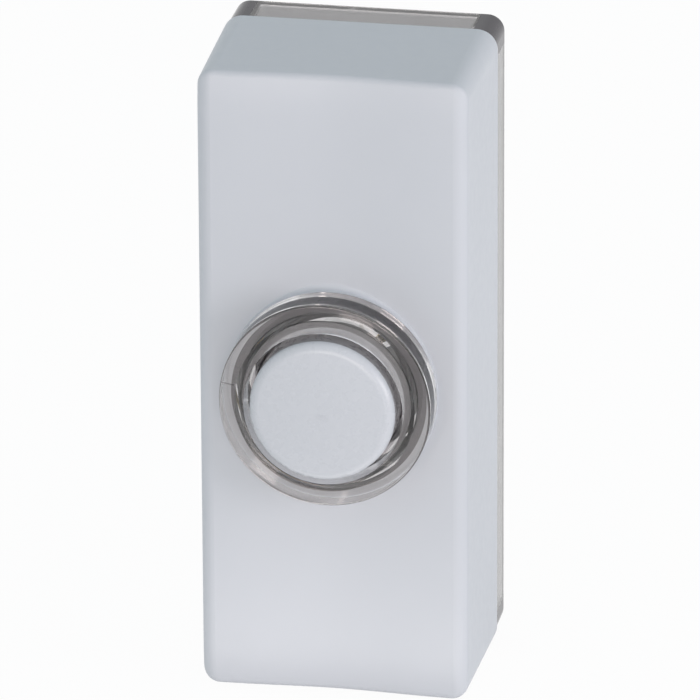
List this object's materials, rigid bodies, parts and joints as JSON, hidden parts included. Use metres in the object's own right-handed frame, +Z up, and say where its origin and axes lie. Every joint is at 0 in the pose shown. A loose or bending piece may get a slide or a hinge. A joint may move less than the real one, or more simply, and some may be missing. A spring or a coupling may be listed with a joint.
{
  "type": "doorbell push button",
  "caption": "Illuminated bell push: upright white scooped cover on a clear base plate, with a round white button in a clear light ring on a collar, for screwing to a wall or door frame.",
  "frame": {"origin": "middle of the back face that lies on the wall", "axes": "+Y into the wall, so the front faces -Y; +Z up along the long side; +X to the right as seen from the front"},
  "size_m": [0.0318, 0.0314, 0.0762],
  "materials": {
    "white_shell": "satin moulded ABS",
    "white_button": "satin moulded ABS",
    "clear_base": "clear moulded polycarbonate",
    "clear_ring": "clear polished polycarbonate",
    "bronze": "spring bronze, rolled",
    "brass_strip": "rolled brass",
    "brass_turned": "turned brass",
    "silver_contact": "silver contact",
    "plated_steel": "zinc plated",
    "lamp_glass": "clear drawn glass",
    "nickel_cap": "nickel plated",
    "tungsten": "drawn wire"
  },
  "bodies": {
    "root": {"cover": "white_shell", "base_plate": "clear_base", "light_ring": "clear_ring", "contact_leaf": "bronze", "left_strip": "brass_strip", "right_strip": "brass_strip", "contact_stud": "silver_contact", "terminal_bush_left": "brass_turned", "terminal_bush_right": "brass_turned", "terminal_washer_left": "plated_steel", "terminal_washer_right": "plated_steel", "terminal_screw_left": "plated_steel", "terminal_screw_right": "plated_steel", "lamp_glass": "lamp_glass", "lamp_cap_left": "nickel_cap", "lamp_cap_right": "nickel_cap", "lamp_filament": "tungsten"},
    "button": {"push_button": "white_button"}
  },
  "joints": [
    {"name": "button_press", "type": "slide", "parent": "root", "child": "button", "axis": [0, 1, 0], "range_m": [0, 0.00185], "stiffness_N_per_m": 900, "springref_m": -0.0012, "deforming": ["contact_leaf"]}
  ]
}
